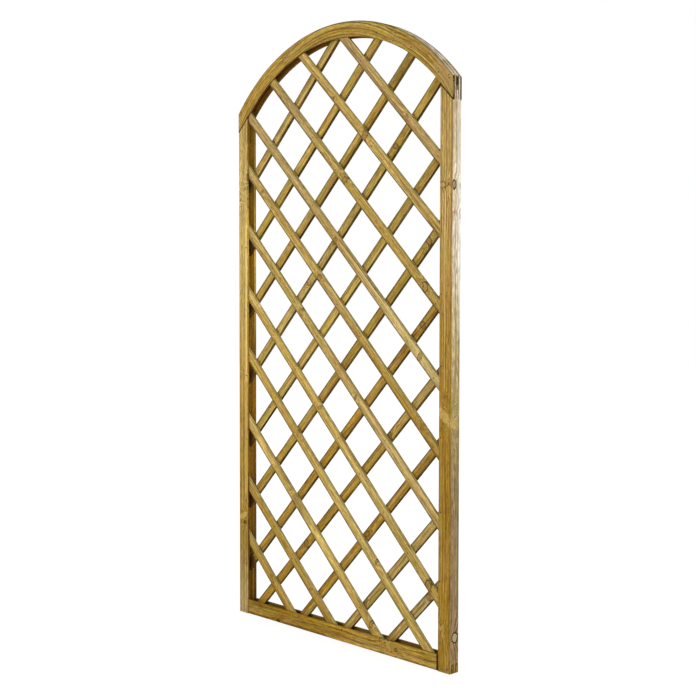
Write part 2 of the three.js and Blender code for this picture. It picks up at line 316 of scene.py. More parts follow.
# What the preservative and the weather make of a board's bare colour: golden and creamy
# bands, dark late wood, fine streaks, greenish stains, a pinkish blush and specks of pitch.
treated_group, inside, out = shader_group(
    "Treated wood", "Color", ("Colour",),
    Base=(1, 1, 1, 1), Late_Colour=(0, 0, 0, 1), Grain=None, Seed=0.0, Late_Wood=0.0, Band=0.5,
    Streak=0.5, Fibre=0.5, Cloud=0.5, Pitch=0.0, Lines=0.8, Bands=0.75, Tint=0.35, Wear=1.0,
)
tree = treated_group
colour = inside["Base"]
golden = blend(tree, 0.6, colour, srgb(156, 110, 14))
colour = blend(tree, product(tree, ramp(tree, inside["Band"], 0.52, 0.38), inside["Bands"]), colour, golden)
creamy = blend(tree, 0.5, colour, srgb(214, 196, 118))
colour = blend(tree, product(tree, ramp(tree, inside["Band"], 0.5, 0.64), inside["Bands"]), colour, creamy)
colour = blend(tree, product(tree, inside["Late Wood"], inside["Lines"]), colour, inside["Late Colour"])
# The level also carries the darker arrises and ends, and the painted shade and painted highlight that come
# in with them
level = product(
    tree,
    ramp(tree, inside["Fibre"], 0.35, 0.65, 0.56, 1.4, False),
    ramp(tree, inside["Streak"], 0.35, 0.65, 0.7, 1.27, False),
    ramp(tree, inside["Cloud"], 0.3, 0.7, 0.92, 1.08, False),
    inside["Wear"],
)
colour = shaded(tree, colour, level)
stain = noise(tree, inside["Grain"], (0.012, 0.06, 0.06), total(tree, inside["Seed"], 9.0))
stain = product(tree, ramp(tree, stain, 0.5, 0.66), inside["Tint"])
colour = blend(tree, stain, colour, srgb(154, 144, 56))
blush = noise(tree, inside["Grain"], (0.012, 0.14, 0.14), total(tree, inside["Seed"], 40.0))
blush = product(tree, ramp(tree, blush, 0.52, 0.7), inside["Tint"])
colour = blend(tree, blush, colour, srgb(192, 142, 104))
colour = blend(tree, product(tree, inside["Pitch"], 0.75), colour, srgb(74, 48, 14))
plug(tree, colour, out["Colour"])

# The colour of a knot: its round body, the fine rings in it and the dark bark round it.
knot_colour_group, inside, out = shader_group(
    "Knot colour", "Color", ("Colour",),
    Base=(1, 1, 1, 1), Knot_Colour=(1, 1, 1, 1), Body=0.0, Rings=0.0, Rim=0.0, Body_Strength=0.6,
    Rim_Strength=0.8,
)
tree = knot_colour_group
body = product(tree, inside["Body"], inside["Body Strength"])
colour = blend(tree, body, inside["Base"], inside["Knot Colour"])
rings = product(tree, inside["Rings"], inside["Body Strength"], 0.6)
colour = blend(tree, rings, colour, srgb(96, 62, 24))
rim = product(tree, inside["Rim"], inside["Rim Strength"])
plug(tree, blend(tree, rim, colour, srgb(56, 38, 18)), out["Colour"])


def straight_grain(tree, centre, turn):
    """Millimetres along, through and across a straight board, for its grain and its outline."""
    mapping = tree.nodes.new("ShaderNodeMapping")
    mapping.vector_type = "TEXTURE"
    mapping.inputs["Location"].default_value = centre
    mapping.inputs["Rotation"].default_value = (0, turn, 0)
    mapping.inputs["Scale"].default_value = (0.001, 0.001, 0.001)
    plug(tree, coordinates(tree), mapping.inputs["Vector"])
    return mapping.outputs["Vector"], mapping.outputs["Vector"]


def end_grain(tree, turn):
    """How squarely the surface cuts across the grain: 0 along it, 1 at a sawn end."""
    lengthways = (math.cos(turn), 0, -math.sin(turn))
    facing = vector_calc(tree, "DOT_PRODUCT", coordinates(tree, "Normal"), lengthways)["Value"]
    return ramp(tree, calc(tree, "ABSOLUTE", facing), 0.5, 0.62)


def tones_along(tree, grain, length, tones):
    """Colours that change slowly along a board, spread evenly from its start to its end."""
    node = tree.nodes.new("ShaderNodeValToRGB")
    share = ramp(tree, split(tree, grain)[0], -length / 2, length / 2, smooth=False)
    plug(tree, share, node.inputs[0])
    stops = node.color_ramp.elements
    while len(stops) < len(tones):
        stops.new(0.5)
    for i, (stop, colour) in enumerate(zip(stops, tones)):
        stop.position = i / (len(tones) - 1)
        stop.color = srgb(*colour)
    return node.outputs[0]


def new_material(name):
    """A new material, its node tree and the main shader in it."""
    material = bpy.data.materials.new(name)
    material.use_nodes = True
    return material, material.node_tree, material.node_tree.nodes["Principled BSDF"]


def finish(node, material):
    """Give a node of the frame its material."""
    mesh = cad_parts[node].data
    mesh.materials.clear()
    mesh.materials.append(material)


def softwood(node, board, size, turn, grain_of):
    """Dress a node as a board of treated softwood. The size is (length, depth, width).

    All is in millimetres, and knots and streaks are measured from the lower or left end.
    """
    material, tree, surface = new_material(node + "_wood")
    grain, place = grain_of(tree)
    length, depth, width = size
    board_end = -length / 2
    seed = board["seed"]
    bulge = 0.0
    branches = []
    for knot in board.get("knots", ()):
        along, over = knot["at"]
        on_side = knot.get("side", 0.0)
        surface_place = (over, -width / 2) if on_side else (-knot.get("depth", depth / 2), over)
        branch = use_group(
            tree, knot_group, Grain=grain, Centre=(board_end + along, *surface_place),
            Radius=knot["radius"], Spread=knot.get("spread", 1.0), Lean=knot.get("lean", 0.0),
            On_Side=on_side, Uneven=knot.get("uneven", 1.0),
        )
        bulge = total(tree, product(tree, branch["Bulge"], knot.get("bulge", 1.0)), bulge)
        branches.append((branch, knot))
    heart_depth, heart_across = board["heart"]
    log = use_group(
        tree, log_group, Grain=grain, Seed=seed, Heart_Depth=heart_depth, Heart_Across=heart_across,
        Ring_Width=board["ring_width"], Wander=board.get("wander", 12.0),
        Ripple=board.get("ripple", 6.0), Bulge=bulge,
    )
    section = use_group(
        tree, section_group, Place=place, Half_Depth=depth / 2, Half_Width=width / 2, Seed=seed,
        Reach=board.get("arris_reach", 4.0),
    )
    high = tones_along(tree, grain, length, board["high_side"])
    low = tones_along(tree, grain, length, board["low_side"])
    sides = blend(tree, section["High"], low, high)
    colour = blend(tree, section["Side"], tones_along(tree, grain, length, board["face"]), sides)
    # The inside of a groove is painted darker: partly darker wood, partly painted shade that deepens
    # towards its front
    front_groove, rear_groove = board.get("groove", ((84, 52, 6), (84, 52, 6)))
    groove_depths = (-9, 10)
    into = ramp(tree, split(tree, place)[1], *groove_depths)
    groove = blend(tree, into, srgb(*front_groove), srgb(*rear_groove))
    sawn_end = end_grain(tree, turn)
    clean_end = product(tree, sawn_end, board.get("clean_ends", 1.0))
    in_groove = product(tree, section["Inside"], less(tree, 1.0, clean_end))
    colour = blend(tree, in_groove, colour, groove)
    # Darker arrises and sawn ends, with painted shade on one edge of a lath's face and a painted highlight
    # on the upper arris of a front lath
    arris_level = ramp(tree, section["High"], 0, 1, *board["arris_levels"])
    wear_and_shade = product(
        tree,
        ramp(tree, section["Arris"], 0, 1, 1, arris_level, False),
        ramp(tree, sawn_end, 0, 1, 1, board.get("end_level", 0.7), False),
    )
    if "shaded_side" in board:
        # Painted shade: the edge of the face that turns away from the light is painted darker
        across = product(tree, split(tree, place)[2], board["shaded_side"])
        shade_reach = 9
        shade = ramp(tree, across, width / 2, width / 2 - shade_reach, 0.3, 1.0)
        wear_and_shade = product(tree, wear_and_shade, shade)
    soaked = product(tree, section["Side"], less(tree, 1.0, section["High"]), board.get("soaked", 0.0))
    soaked = largest(tree, soaked, in_groove)
    calm = ramp(tree, soaked, 0, 1, 1.0, 0.55, False)
    colour = use_group(
        tree, treated_group, Base=colour, Late_Colour=srgb(*board["late"]), Grain=grain, Seed=seed,
        Wear=wear_and_shade,
        Fibre=total(tree, 0.5, product(tree, less(tree, log["Fibre"], 0.5), calm)),
        Lines=board.get("lines", 1.0),
        Bands=ramp(tree, soaked, 0, 1, 0.5, 0.2, False),
        Tint=ramp(tree, soaked, 0, 1, 0.35, 0.05, False),
        **{label: log[label] for label in ("Late Wood", "Band", "Streak", "Cloud", "Pitch")},
    )["Colour"]
    for branch, knot in branches:
        colour = use_group(
            tree, knot_colour_group, Base=colour, Knot_Colour=srgb(*knot.get("colour", pale_swirl)),
            Body_Strength=knot.get("body", 0.6), Rim_Strength=knot.get("rim", 0.8),
            **{label: branch[label] for label in ("Body", "Rings", "Rim")},
        )["Colour"]
    for on_side, table in ((1.0, "side_streaks"), (0.0, "streaks")):
        for start, end, across, half, tone, strength, *slope in board.get(table, ()):
            mask = use_group(
                tree, streak_group, Place=place, Side=section["Side"], On_Side=on_side,
                Start=board_end + start, End=board_end + end, Across=across, Half_Width=half,
                Slope=slope[0] if slope else 0.0,
            )["Mask"]
            colour = blend(tree, product(tree, mask, strength), colour, srgb(*tone))
    if "marks" in board:
        colour = board["marks"](tree, colour)
    plug(tree, colour, surface.inputs["Base Color"])
    plug(tree, ramp(tree, log["Late Wood"], 0, 1, 0.82, 0.66, False), surface.inputs["Roughness"])
    surface.inputs["Specular IOR Level"].default_value = 0.08
    kerf = noise(tree, grain, (0.6, 0.02, 0.02), seed + 61.0, 2, 0.5)
    relief = total(
        tree,
        product(tree, log["Late Wood"], 0.4),
        product(tree, log["Fibre"], 0.5),
        product(tree, kerf, section["Side"], board.get("sawn", 0.0)),
    )
    bump = tree.nodes.new("ShaderNodeBump")
    bump.inputs["Strength"].default_value = 0.4
    bump.inputs["Distance"].default_value = 0.0006
    plug(tree, relief, bump.inputs["Height"])
    plug(tree, bump.outputs["Normal"], surface.inputs["Normal"])
    finish(node, material)


# Dirt and preservative in the joints: along the sloping shoulders of the cheeks, along the
# edges of the comb on the outer sides and beside the rail's ends. The rear cheeks there are darker.
joint_group, inside, out = shader_group(
    "Joint dirt", "Color", ("Base",),
    Base=(1, 1, 1, 1), Corner_X=405.0, Corner_Z=1575.0, Tongue_Height=24.0, Rail_Height=45.0,
    Side_X=449.0,
)
tree = joint_group
mm = stretch(tree, coordinates(tree), (1000, 1000, 1000))
px, py, pz = split(tree, mm)
rough = ramp(tree, noise(tree, mm, (0.07, 0.2, 0.07), 2.0), 0.3, 0.7, 0.7, 1.5, False)
from_middle = calc(tree, "ABSOLUTE", px)
run = less(tree, from_middle, inside["Corner X"])
fall = total(tree, run, less(tree, pz, inside["Corner Z"]))
over_tongue = less(tree, pz, inside["Tongue Height"])
outer = ramp(tree, less(tree, from_middle, inside["Side X"]), -0.6, 0.4)
shoulder_slope = math.radians(45)
inner_side = 400
# Depths at which the comb's parts meet: front cheek, tongue, finger, tongue and rear cheek
comb_lines = (-10.8, -3.6, 5.4, 12.96)
# How far the dirt spreads from the shoulders, the comb, the tongues' tops and the rail's ends
shoulder_dirt = 2.8
comb_dirt = 1.3
tongue_dirt = 1.4
butt_dirt = 4.6


def dirt_line(gap, reach):
    """A dark line in the joint: 1 on it, fading to 0 at its reach in millimetres."""
    share = calc(tree, "DIVIDE", calc(tree, "ABSOLUTE", gap), product(tree, rough, reach))
    return ramp(tree, share, 0.45, 1.0, 1, 0)


# The two cheeks in their depth, and the stretches at foot and head where the comb shows
front_cheek = ramp(tree, py, -10.5, -11.5)
rear_cheek = ramp(tree, py, 12.6, 13.6)
at_foot = ramp(tree, over_tongue, 1.0, 0.0)
at_head = ramp(tree, fall, -1.0, 1.0)
slope = product(
    tree,
    dirt_line(product(tree, fall, math.cos(shoulder_slope)), shoulder_dirt),
    largest(tree, front_cheek, rear_cheek),
    ramp(tree, run, -3, 0),
)
comb = largest(tree, *[dirt_line(less(tree, py, depth), comb_dirt) for depth in comb_lines])
comb = product(tree, comb, largest(tree, at_foot, at_head), outer)
tongues = []
for near, far in (comb_lines[:2], comb_lines[2:]):
    behind = ramp(tree, py, near - 0.5, near + 0.5)
    tongues.append(product(tree, behind, ramp(tree, py, far + 0.5, far - 0.5)))
tongue_tops = product(tree, dirt_line(over_tongue, tongue_dirt), largest(tree, *tongues), outer)
butt = product(
    tree,
    dirt_line(run, butt_dirt),
    ramp(tree, less(tree, pz, inside["Rail Height"]), 0.5, -0.5),
    ramp(tree, px, -inner_side, inner_side, 0.3, 1.0),
)
# The rear cheeks at the head are painted darker on the outer sides
dark_cheek = product(tree, rear_cheek, at_head, outer, 0.9)
dirt = largest(tree, slope, comb, tongue_tops, butt, dark_cheek)
plug(tree, blend(tree, product(tree, dirt, 0.9), inside["Base"], srgb(52, 28, 8)), out["Base"])

# The frame's opening: straight sides, and an arch whose back and belly are arcs about one
# centre. The arch's back meets the outer sides of the stiles at the shoulder height.
stile_low, stile_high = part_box("stile_right")
crown_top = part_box("arch_crown")[1].z
inner_half = stile_low.x
half_width = stile_high.x
member_face = half_width - inner_half
shoulder_height = 1.592
rise_of_arch = crown_top - shoulder_height
outer_radius = (half_width**2 + rise_of_arch**2) / (2 * rise_of_arch)
arc_centre_z = crown_top - outer_radius
inner_radius = outer_radius - member_face
corner_z = arc_centre_z + math.sqrt(inner_radius**2 - inner_half**2)


def joint_dirt(tree, base):
    """The colour of a frame member with the dirt of its joints on it."""
    corner = dict(Corner_X=inner_half * 1000, Corner_Z=corner_z * 1000)
    return use_group(tree, joint_group, Base=base, **corner)["Base"]


# Wood tones, named for what has happened to the board there. A knot is at a place along and
# across the board, or along and through it if it shows on a side. Streaks are rows of a start,
# an end, a place across, half a width, a colour, a strength and, if they run out, a slope.
weathered = (166, 142, 98)
bronze = (152, 117, 38)
honey = (164, 130, 54)
straw = (188, 159, 90)
pale_straw = (202, 177, 106)
mauve = (147, 125, 92)
stone = (174, 154, 110)
cream = (208, 194, 150)
white_cream = (250, 240, 220)
pale_swirl = (206, 174, 100)
pitch_line = (88, 62, 24)
stiles = {
    "stile_left": dict(
        seed=2.0, heart=(40, 75), ring_width=6.4, wander=6.0, ripple=3.0,
        face=(weathered, bronze, bronze, honey, straw, pale_straw, (194, 167, 104), (170, 140, 70)),
        # The inner side is painted dark red-brown at the foot and at the head: painted shade where the rail
        # and the arch meet it
        low_side=((76, 14, 0), (98, 42, 0), (176, 108, 0), (220, 176, 64), (214, 174, 80), (80, 30, 0)),
        soaked=1.0,
        high_side=(stone, cream),
        late=(100, 72, 18),
        # Its groove is painted nearly black at the front, painted shade, and golden at the rear
        groove=((54, 16, 0), (214, 160, 36)),
        knots=(
            dict(at=(292, -8), radius=6, body=0.9, rim=0.9, colour=(104, 70, 24)),
            dict(at=(314, 0), radius=9, spread=2.6, lean=-0.5, body=0.5, rim=0.0, bulge=1.4),
            dict(at=(772, 10), radius=6, spread=1.6, lean=0.3, body=0.3, rim=0.3, bulge=1.6),
            dict(at=(1352, -12), radius=5, body=0.9, rim=1.0, colour=(84, 54, 20)),
            dict(at=(1386, -21), radius=9, body=0.7, rim=0.7, colour=(112, 76, 28)),
            dict(at=(1325, 6), radius=8, spread=1.8, lean=0.6, body=0.3, rim=0.4, bulge=1.5),
        ),
        streaks=(
            (740, 1240, -14.5, 3.4, (226, 204, 130), 0.85),
            (560, 1300, -10, 1.1, pitch_line, 0.5),
            (1140, 1230, -19, 3.5, (140, 94, 40), 0.6),
            (360, 980, 4, 1.2, (210, 178, 96), 0.5),
            (380, 1500, -12, 8, (216, 186, 108), 0.35),
            (330, 560, -17, 3, (186, 144, 44), 0.5),
            (790, 1000, 11, 8, (158, 128, 66), 0.4),
        ),
        marks=joint_dirt, end_level=0.9, arris_levels=(0.85, 0.55),
    ),
    "stile_right": dict(
        seed=7.0, heart=(46, -70), ring_width=6.4, wander=7.0, ripple=3.5,
        face=(bronze, bronze, bronze, bronze, honey, straw, (190, 162, 98), (174, 144, 78)),
        # The outer side is painted paler towards the top: painted light from the right
        low_side=(mauve, mauve, mauve, stone, cream, white_cream, (228, 214, 182), (166, 147, 102)),
        high_side=(bronze, honey),
        late=(116, 80, 20),
        knots=(
            dict(
                at=(96, 1), radius=14, spread=0.8, side=1.0, uneven=0.25,
                body=0.8, rim=1.0, bulge=0.6, colour=(190, 176, 130),
            ),
            dict(at=(122, 18), radius=8, spread=1.3, lean=0.4, body=0.4, rim=0.1, bulge=1.3),
            dict(at=(690, 0), radius=15, spread=2.0, lean=0.75, body=0.65, rim=0.0, bulge=1.5),
            dict(
                at=(1306, -9), radius=11, spread=0.7, side=1.0, uneven=0.5,
                rim=1.0, bulge=0.8, colour=(140, 130, 76),
            ),
            dict(at=(1306, 12), radius=7, spread=2.4, lean=0.2, body=0.3, bulge=0.7),
            dict(at=(1232, -8), radius=5, spread=2.2, side=1.0, body=0.5, rim=0.0, colour=(196, 124, 92)),
        ),
        side_streaks=(
            (30, 650, 16, 1.5, (78, 58, 30), 0.9),
            (130, 660, -13, 1.2, pitch_line, 0.7, 0.05),
            (220, 620, 7, 5, (130, 124, 80), 0.6),
            (110, 420, -8, 6, (164, 128, 104), 0.6, 0.02),
            (640, 1590, 4, 1.0, (150, 130, 90), 0.5),
            (980, 1560, -15.5, 1.4, (156, 120, 84), 0.7),
            # Painted light: two broad, nearly white streaks near the top of the outer side
            (900, 1590, 12, 5, (248, 238, 222), 0.25, -0.004),
            (1010, 1590, 8, 10, (250, 240, 224), 0.35),
            (190, 430, 13, 6, (98, 82, 48), 0.45),
        ),
        streaks=(
            (940, 1560, -20, 1.4, (122, 82, 34), 0.75),
            (780, 1550, 15, 1.3, (134, 94, 40), 0.7),
            (860, 1550, -18, 2.6, (170, 118, 52), 0.6),
            (150, 760, 7, 1.3, (124, 88, 20), 0.6),
            (10, 1000, -18, 1.0, (92, 66, 20), 0.7),
            (200, 640, 14, 1.6, (176, 140, 66), 0.5),
            (760, 1290, 1, 2.2, (212, 186, 122), 0.5),
        ),
        marks=joint_dirt, end_level=0.9, arris_levels=(0.9, 0.65), arris_reach=3.4,
    ),
}
member_section = (36, 45)
stile_size = (stile_high.z * 1000, *member_section)
upright = math.radians(-90)
for name, board in stiles.items():
    low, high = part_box(name)
    centre = (low + high) / 2
    softwood(name, board, stile_size, upright, lambda tree: straight_grain(tree, centre, upright))

# The foot rail
# A grooved rail between the stiles, let into both of them with two tongues at each end.
# It is more olive than the stiles, with wavy grain and a knot near its right end.
foot_rail = dict(
    seed=13.0, heart=(50, -40), ring_width=7.6, ripple=8.0,
    face=((130, 94, 6), (140, 102, 8), (154, 116, 24), (172, 136, 54), (174, 141, 62), (150, 120, 42)),
    high_side=((104, 78, 12), (118, 92, 24)),
    low_side=((112, 88, 34), (112, 88, 34)),
    late=(84, 56, 6),
    groove=((84, 58, 8), (112, 84, 22)),
    knots=(
        dict(at=(700, 2), radius=6, rim=0.9, colour=(110, 76, 26)),
        dict(at=(668, 8), radius=10, spread=1.4, lean=-0.6, body=0.3, rim=0.2, bulge=1.8),
        dict(at=(192, -18), radius=7, body=0.9, rim=1.0, colour=(70, 44, 14)),
    ),
    streaks=(
        (350, 660, 6, 1.4, (102, 72, 14), 0.7, -0.03),
        (390, 640, -4, 1.2, (102, 72, 14), 0.6, -0.03),
        (570, 850, -14, 2.0, (188, 160, 92), 0.6),
        (230, 510, 15, 2.2, (178, 144, 52), 0.5),
        (710, 850, 8, 1.2, (104, 74, 20), 0.6, -0.06),
    ),
    marks=joint_dirt, end_level=0.85, arris_levels=(0.6, 0.9), arris_reach=3.4,
)
rail_size = (900, *member_section)
low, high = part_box("foot_rail")
centre = (low + high) / 2
softwood("foot_rail", foot_rail, rail_size, 0.0, lambda tree: straight_grain(tree, centre, 0.0))

# The arch
# Three lengths sawn to the curve and finger-jointed end to end, then grooved and rounded
# as one. Each is cut from a straight board, so its grain runs out a little at the edges.
middle_radius = outer_radius - member_face / 2
bend_group, inside, out = shader_group(
    "Bent board", "Vector", ("Grain", "Place"),
    Centre_Z=1.2, Middle_Radius=0.57, Middle_Angle=0.0, Run_Out=0.3,
)
tree = bend_group
px, py, pz = split(tree, coordinates(tree))
up = less(tree, pz, inside["Centre Z"])
angle = less(tree, calc(tree, "ARCTAN2", px, up), inside["Middle Angle"])
away = distance(tree, px, up)
along = product(tree, angle, inside["Middle Radius"], 1000.0)
deep = product(tree, py, 1000.0)
over = product(tree, less(tree, away, inside["Middle Radius"]), 1000.0)
bow = product(tree, angle, angle, inside["Middle Radius"], inside["Run Out"], 500.0)
plug(tree, join(tree, along, deep, over), out["Place"])
plug(tree, join(tree, along, deep, total(tree, over, bow)), out["Grain"])


def bent_grain(tree, turn):
    """The same as straight_grain, for a length of the arch turned from the crown."""
    bent = use_group(
        tree, bend_group, Centre_Z=arc_centre_z, Middle_Radius=middle_radius, Middle_Angle=turn
    )
    return bent["Grain"], bent["Place"]


arch_tones = dict(
    face=((166, 134, 60), (162, 130, 52), (166, 136, 60)),
    # The underside is painted dark: painted shade beneath the arch
    low_side=((104, 64, 6), (120, 78, 12)),
    soaked=1.0,
    late=(92, 62, 12),
    ring_width=6.6, wander=6.0,
    # The groove is painted darkest at its front: painted shade
    groove=((72, 24, 0), (136, 84, 16)),
    marks=joint_dirt,
    end_level=0.28,
    clean_ends=0.0,
    arris_levels=(0.95, 0.45),
)
finger_glue = (78, 50, 16)
arch_boards = {
    "arch_left": dict(
        degrees=-37, seed=21.0, heart=(44, -60),
        high_side=(honey, honey),
        streaks=(
            (348, 368, -6, 2.0, finger_glue, 0.7),
            (340, 368, 2, 1.6, finger_glue, 0.6),
            (110, 280, -12, 1.5, (112, 78, 16), 0.6),
            (130, 300, 6, 1.2, (120, 86, 22), 0.5, 0.03),
        ),
    ),
    "arch_crown": dict(
        degrees=0, seed=24.0, heart=(40, -80),
        # The top is painted paler towards the right end: painted light from above
        high_side=((138, 106, 34), (104, 90, 56), (186, 176, 148)),
        streaks=(
            (446, 476, 13, 2.2, finger_glue, 0.8),
            (454, 476, 7, 1.6, finger_glue, 0.6),
            (4, 26, -2, 2.0, finger_glue, 0.7),
            (80, 360, -8, 1.4, (122, 88, 24), 0.6, 0.03),
            (160, 400, 4, 1.2, (122, 88, 24), 0.5, -0.03),
        ),
    ),
    "arch_right": dict(
        degrees=37, seed=27.0, heart=(46, -50),
        # The top is painted pale, to pure white at the right end: painted light from above
        high_side=((206, 196, 160), (200, 192, 166), (255, 255, 255)),
        streaks=(
            (112, 144, 13, 2.2, finger_glue, 0.8),
            (180, 360, -11.5, 1.6, (88, 58, 16), 0.85),
            (180, 350, -8.5, 1.4, (212, 182, 112), 0.6),
            (210, 370, -4, 1.3, (96, 66, 18), 0.8, 0.01),
            (150, 330, 6, 1.3, (118, 82, 30), 0.6, 0.03),
            (220, 370, 15, 2.0, (176, 140, 104), 0.6),
            (290, 430, 2, 18, (178, 150, 104), 0.4),
        ),
    ),
}
arch_size = (480, *member_section)
for name, board in arch_boards.items():
    turn = math.radians(board["degrees"])
    softwood(name, {**arch_tones, **board}, arch_size, turn, lambda tree: bent_grain(tree, turn))

# The laths
# Thin sawn laths in two layers, let into the groove and pinned where they cross. The front
# layer falls to the right, the rear layer to the left. Their narrow edges are left as sawn.


def lath_run(node):
    """Centre, direction, length and width of a lath, read from its own mesh."""
    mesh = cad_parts[node].data
    points = [vertex.co.copy() for vertex in mesh.vertices]
    narrow_side = max(
        (face for face in mesh.polygons if abs(face.normal.y) < 0.01),
        key=lambda face: face.area,
    ).normal
    direction = Vector((abs(narrow_side.z), 0, -narrow_side.x * math.copysign(1, narrow_side.z)))
    normal = Vector((-direction.z, 0, direction.x))
    offsets = [point.dot(normal) for point in points]
    reaches = [point.dot(direction) for point in points]
    depths = [point.y for point in points]
    centre = normal * (min(offsets) + max(offsets)) / 2 + direction * (min(reaches) + max(reaches)) / 2
    centre.y = (min(depths) + max(depths)) / 2
    return centre, direction, max(reaches) - min(reaches), max(offsets) - min(offsets)


lath_names = [name for name in sorted(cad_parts) if "_lath_" in name]
lath_runs = {name: lath_run(name) for name in lath_names}

# The laths of a layer are numbered from the foot. Their knots that show, as (millimetres from
# the lath's left end, across it, radius, dark rim)
lath_knots = {
    "front": {
        1: ((185, 6, 4, 0.5),),
        2: ((440, 0, 4, 0.5),),
        3: ((310, 3, 5, 0.3), (805, 6, 7, 0.7)),
        4: ((360, 8, 8, 0.3), (840, 10, 5, 0.9)),
        5: ((508, 4, 5, 0.7), (1142, -2, 12, 0.8)),
        6: ((390, 2, 9, 0.5), (727, 0, 5, 0.8)),
        7: ((128, 0, 5, 0.5), (507, 0, 8, 0.6), (1090, 6, 8, 0.3)),
        8: ((582, -4, 7, 0.7), (1052, 0, 8, 0.6)),
        9: ((478, 0, 9, 0.6), (922, 2, 10, 0.9)),
        10: ((228, 0, 3, 0.8), (405, 0, 11, 0.6)),
        11: ((395, 0, 6, 0.4),),
    },
    "rear": {
        1: ((238, 0, 7, 0.7),),
        2: ((145, 0, 6, 0.7),),
        3: ((428, 3, 8, 0.6),),
        4: ((340, 0, 10, 0.7), (842, 0, 8, 0.6)),
        5: ((1100, 0, 9, 0.5),),
        6: ((1132, 3, 9, 0.9),),
        7: ((170, 6, 4, 0.8), (1048, 0, 6, 0.8)),
        8: ((430, 2, 8, 0.6), (592, 0, 6, 0.8), (948, 0, 8, 0.6)),
        9: ((300, 4, 5, 0.4),),
        11: ((185, 0, 8, 0.7),),
    },
}

# The tone of each lath: no two come out of the preservative alike
tan = (178, 150, 86)
golden = (182, 150, 70)
pale = (188, 160, 88)
drab = (168, 142, 90)
copper = (158, 120, 38)
sage = (168, 142, 66)
cream_tan = (200, 176, 116)
lath_tones = {
    "front": {
        1: (bronze, honey, bronze),
        2: (honey, honey, (160, 122, 40)),
        3: (pale, pale, golden),
        4: (golden, golden, pale, golden),
        5: (pale, golden, pale, (172, 142, 66)),
        6: (tan, pale, tan, cream_tan, tan),
        7: (drab, honey, tan, honey, honey),
        8: (drab, drab, (170, 136, 72), cream_tan, cream_tan),
        9: (tan, drab, golden, golden, (160, 132, 64)),
        10: (pale, pale, (176, 142, 72)),
        11: (drab, tan, drab),
    },
    "rear": {
        1: (copper, drab, drab),
        2: (honey, tan, tan),
        3: (copper, copper, (158, 122, 52)),
        4: (copper, copper, honey, drab),
        5: (copper, copper, (170, 126, 44), honey),
        6: (bronze, honey, honey, sage),
        7: (sage, golden, sage, honey),
        8: (sage, tan, sage, honey),
        9: (honey, golden, honey, sage),
        10: (sage, golden, copper),
        11: (sage, tan, sage),
    },
}

# Streaks that show, as (start and end from the lath's left end, across, half, colour) and a
# slope for those that run out across the face
dark = (104, 76, 26)
pale_line = (216, 192, 122)
lath_streaks = {
    "front": {
        2: ((370, 460, -9, 2.0, dark),),
        4: ((260, 700, 3, 1.0, dark, -0.01), (700, 1060, -4, 1.0, dark)),
        5: (
            (22, 90, 4, 3.0, pale_line),
            (22, 180, -6, 1.2, dark, 0.02),
            (760, 1120, 5, 1.0, dark),
            (800, 1120, 0, 1.0, dark),
            (780, 1110, -5, 1.0, dark),
        ),
        6: ((120, 360, 2, 1.0, dark), (730, 1150, 5, 1.2, pale_line)),
        7: ((150, 480, -7, 2.0, pale_line), (600, 1000, 6, 1.0, dark, 0.01)),
        8: (
            (590, 850, 10, 2.4, (44, 30, 6), 0.005),
            (600, 1040, 4, 2.0, pale_line, 0.01),
            (600, 1000, -3, 0.9, dark),
        ),
        9: ((30, 420, 5, 1.2, dark, 0.01), (500, 900, 2, 1.0, dark)),
        10: (
            (560, 780, 6, 1.1, dark, -0.05),
            (600, 790, 1, 1.1, dark, -0.05),
            (440, 760, -8, 1.6, pale_line),
        ),
        11: (
            (30, 500, 6, 1.2, (146, 106, 78), 0.01),
            (30, 520, -1, 1.2, (146, 106, 78), -0.01),
            (30, 500, -7, 1.2, (146, 106, 78), 0.01),
        ),
    },
    "rear": {
        1: ((150, 230, 2, 1.4, dark, -0.04), (140, 220, -4, 1.2, dark)),
        2: ((120, 240, 6, 2.0, dark, -0.1),),
        4: ((290, 380, 6, 1.6, dark, -0.12), (300, 380, 0, 1.4, dark, -0.12)),
        5: (
            (905, 1180, 12, 1.6, (74, 46, 10), -0.07),
            (905, 1180, 6, 1.6, (74, 46, 10), -0.07),
            (960, 1180, 14, 1.8, (74, 46, 10), -0.12),
            (340, 560, 4, 1.2, dark, -0.02),
        ),
        6: ((560, 760, 4, 1.0, dark, -0.02), (800, 1100, -4, 1.2, dark)),
        7: ((460, 900, 3, 1.0, dark), (200, 420, -5, 1.6, pale_line)),
        8: ((905, 990, 2, 1.6, dark, 0.1), (430, 560, 3, 3.0, (186, 176, 104))),
        9: ((30, 420, 4, 1.6, (196, 158, 64)), (440, 900, -4, 1.0, dark)),
        11: ((30, 520, 3, 1.0, dark), (180, 520, -5, 1.6, pale_line)),
    },
}

# The front laths' upper arris is lifted, a painted highlight, and the rear laths' arrises are darker.
# The narrow edges that show are painted: pale on the front layer for painted light, dark on the rear layer
# for painted shade.
painted_light_edge = ((206, 188, 124), (206, 188, 124))
painted_shade_edge = ((48, 32, 3), (48, 32, 3))
layers = {
    "front": dict(
        late=(130, 98, 38), high_side=painted_light_edge, low_side=painted_light_edge, arris_levels=(0.6, 1.2),
        shaded_side=-1,
    ),
    "rear": dict(
        late=(110, 80, 18), high_side=painted_shade_edge, low_side=painted_shade_edge, arris_levels=(0.6, 0.75),
        shaded_side=1,
    ),
}
